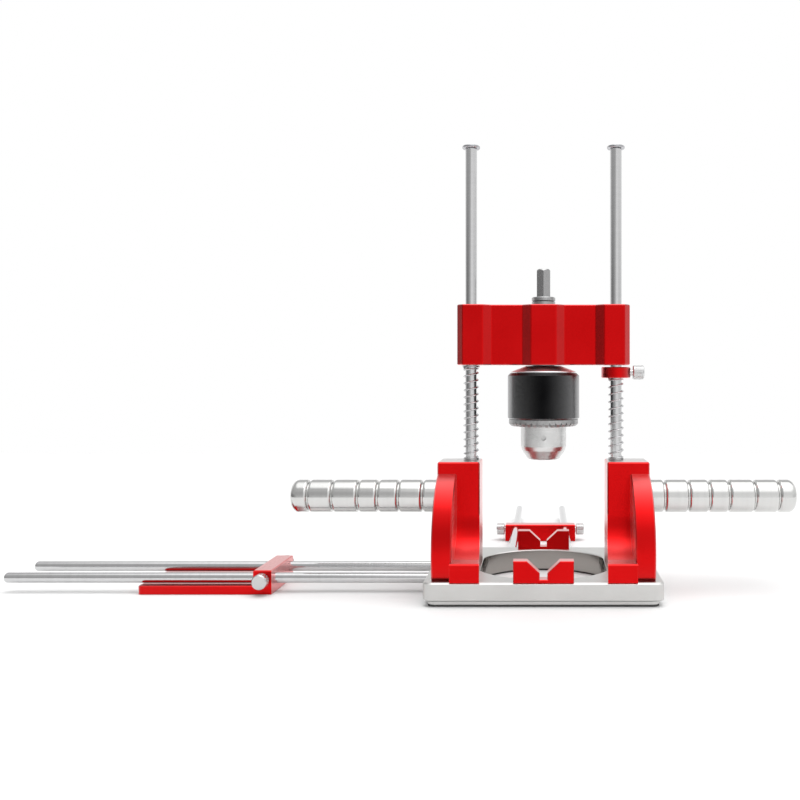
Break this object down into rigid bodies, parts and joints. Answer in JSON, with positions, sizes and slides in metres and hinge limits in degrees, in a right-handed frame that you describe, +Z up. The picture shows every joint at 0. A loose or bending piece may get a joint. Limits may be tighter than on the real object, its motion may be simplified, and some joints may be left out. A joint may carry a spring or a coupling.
{
  "type": "dowel joiner",
  "caption": "Hand-held drilling guide on a square V-block base, with a sprung chuck carriage on guide rods, lobed handles and sliding rod fences.",
  "frame": {"origin": "where the drilling axis meets the surface that the tool stands on", "axes": "+X right towards the right handle, +Y to the rear fence, +Z up along the drilling axis"},
  "size_m": [0.4647, 0.299, 0.2643],
  "materials": {
    "red_anodised": "glossy red anodised, machined",
    "satin_aluminium": "fine satin, bead blasted",
    "black_rubber": "matte moulded",
    "polished_steel": "ground and polished",
    "handle_metal": "turned and polished",
    "spring_wire": "bright spring wire",
    "screw_steel": "zinc plated",
    "thumbscrew_steel": "turned and fluted",
    "bronze": "bored, oiled",
    "bearing_steel": "ground",
    "shaft_steel": "turned",
    "chuck_chrome": "chrome plated, satin nose",
    "gear_steel": "milled teeth",
    "black_oxide": "satin black oxide"
  },
  "bodies": {
    "base": {"base_plate": "satin_aluminium", "base_pad": "black_rubber", "front_v_block": "red_anodised", "rear_v_block": "red_anodised", "v_block_screws": "screw_steel", "left_bracket": "red_anodised", "right_bracket": "red_anodised", "bracket_screws": "screw_steel", "side_rod_front": "polished_steel", "side_rod_rear": "polished_steel", "rear_rod_left": "polished_steel", "rear_rod_right": "polished_steel", "rod_set_screws": "screw_steel", "column_set_screws": "screw_steel", "left_guide_rod": "polished_steel", "right_guide_rod": "polished_steel", "guide_rod_washers": "screw_steel", "guide_rod_screws": "screw_steel", "left_handle": "handle_metal", "right_handle": "handle_metal", "handle_studs": "screw_steel", "left_spring": "spring_wire", "right_spring": "spring_wire"},
    "spring_seat": {"spring_seat_washer": "screw_steel", "stop_collar": "red_anodised"},
    "collar_screw": {"stop_collar_screw": "thumbscrew_steel"},
    "carriage": {"carriage": "red_anodised", "guide_bushes": "bronze", "bearing_outer_rings": "bearing_steel", "bearing_balls": "bearing_steel", "bearing_circlips": "spring_wire"},
    "spindle": {"drive_shaft": "shaft_steel", "bearing_inner_rings": "bearing_steel", "shaft_collar": "shaft_steel", "shaft_collar_screw": "screw_steel", "chuck_body": "chuck_chrome"},
    "sleeve": {"chuck_sleeve": "black_oxide", "chuck_nut": "shaft_steel", "chuck_gear_ring": "gear_steel"},
    "jaw_1": {"chuck_jaw_1": "shaft_steel"},
    "jaw_2": {"chuck_jaw_2": "shaft_steel"},
    "jaw_3": {"chuck_jaw_3": "shaft_steel"},
    "side_fence": {"side_fence": "red_anodised"},
    "side_screw_front": {"side_fence_screw_front": "thumbscrew_steel"},
    "side_screw_rear": {"side_fence_screw_rear": "thumbscrew_steel"},
    "rear_fence": {"rear_fence": "red_anodised"},
    "rear_screw_left": {"rear_fence_screw_left": "thumbscrew_steel"},
    "rear_screw_right": {"rear_fence_screw_right": "thumbscrew_steel"}
  },
  "joints": [
    {"name": "spring_plunge", "type": "slide", "parent": "base", "child": "spring_seat", "axis": [0, 0, 1], "range_m": [-0.034, 0], "stiffness_N_per_m": 900, "springref_m": 0.016, "deforming": ["left_spring", "right_spring"]},
    {"name": "carriage_lift", "type": "slide", "parent": "spring_seat", "child": "carriage", "axis": [0, 0, 1], "range_m": [0, 0.094]},
    {"name": "spindle_spin", "type": "hinge", "parent": "carriage", "child": "spindle", "pos_m": [0, 0, 0.15], "axis": [0, 0, 1], "continuous": true},
    {"name": "chuck_sleeve_turn", "type": "hinge", "parent": "spindle", "child": "sleeve", "pos_m": [0, 0, 0.11], "axis": [0, 0, 1], "range_deg": [0, 2736]},
    {"name": "jaw_1_close", "type": "slide", "parent": "spindle", "child": "jaw_1", "axis": [0, -0.2419, -0.9703], "range_m": [0, 0.019]},
    {"name": "jaw_2_close", "type": "slide", "parent": "spindle", "child": "jaw_2", "axis": [0.2095, 0.121, -0.9703], "range_m": [0, 0.019]},
    {"name": "jaw_3_close", "type": "slide", "parent": "spindle", "child": "jaw_3", "axis": [-0.2095, 0.121, -0.9703], "range_m": [0, 0.019]},
    {"name": "collar_screw_turn", "type": "hinge", "parent": "spring_seat", "child": "collar_screw", "pos_m": [0.055, 0, 0.1283], "axis": [1, 0, 0], "range_deg": [0, 180]},
    {"name": "side_fence_slide", "type": "slide", "parent": "base", "child": "side_fence", "axis": [1, 0, 0], "range_m": [-0.145, 0.09]},
    {"name": "side_screw_front_turn", "type": "hinge", "parent": "side_fence", "child": "side_screw_front", "pos_m": [-0.1622, -0.025, 0.0085], "axis": [0, -1, 0], "range_deg": [0, 180]},
    {"name": "side_screw_rear_turn", "type": "hinge", "parent": "side_fence", "child": "side_screw_rear", "pos_m": [-0.1622, 0.025, 0.0085], "axis": [0, 1, 0], "range_deg": [0, 180]},
    {"name": "rear_fence_slide", "type": "slide", "parent": "base", "child": "rear_fence", "axis": [0, 1, 0], "range_m": [-0.09, 0.095]},
    {"name": "rear_screw_left_turn", "type": "hinge", "parent": "rear_fence", "child": "rear_screw_left", "pos_m": [-0.0325, 0.1463, 0.0085], "axis": [-1, 0, 0], "range_deg": [0, 180]},
    {"name": "rear_screw_right_turn", "type": "hinge", "parent": "rear_fence", "child": "rear_screw_right", "pos_m": [0.0275, 0.1463, 0.0085], "axis": [1, 0, 0], "range_deg": [0, 180]}
  ],
  "couplings": [
    {"joint": "jaw_1_close", "follows": "chuck_sleeve_turn", "m_per_rad": 0.00039789},
    {"joint": "jaw_2_close", "follows": "chuck_sleeve_turn", "m_per_rad": 0.00039789},
    {"joint": "jaw_3_close", "follows": "chuck_sleeve_turn", "m_per_rad": 0.00039789}
  ]
}
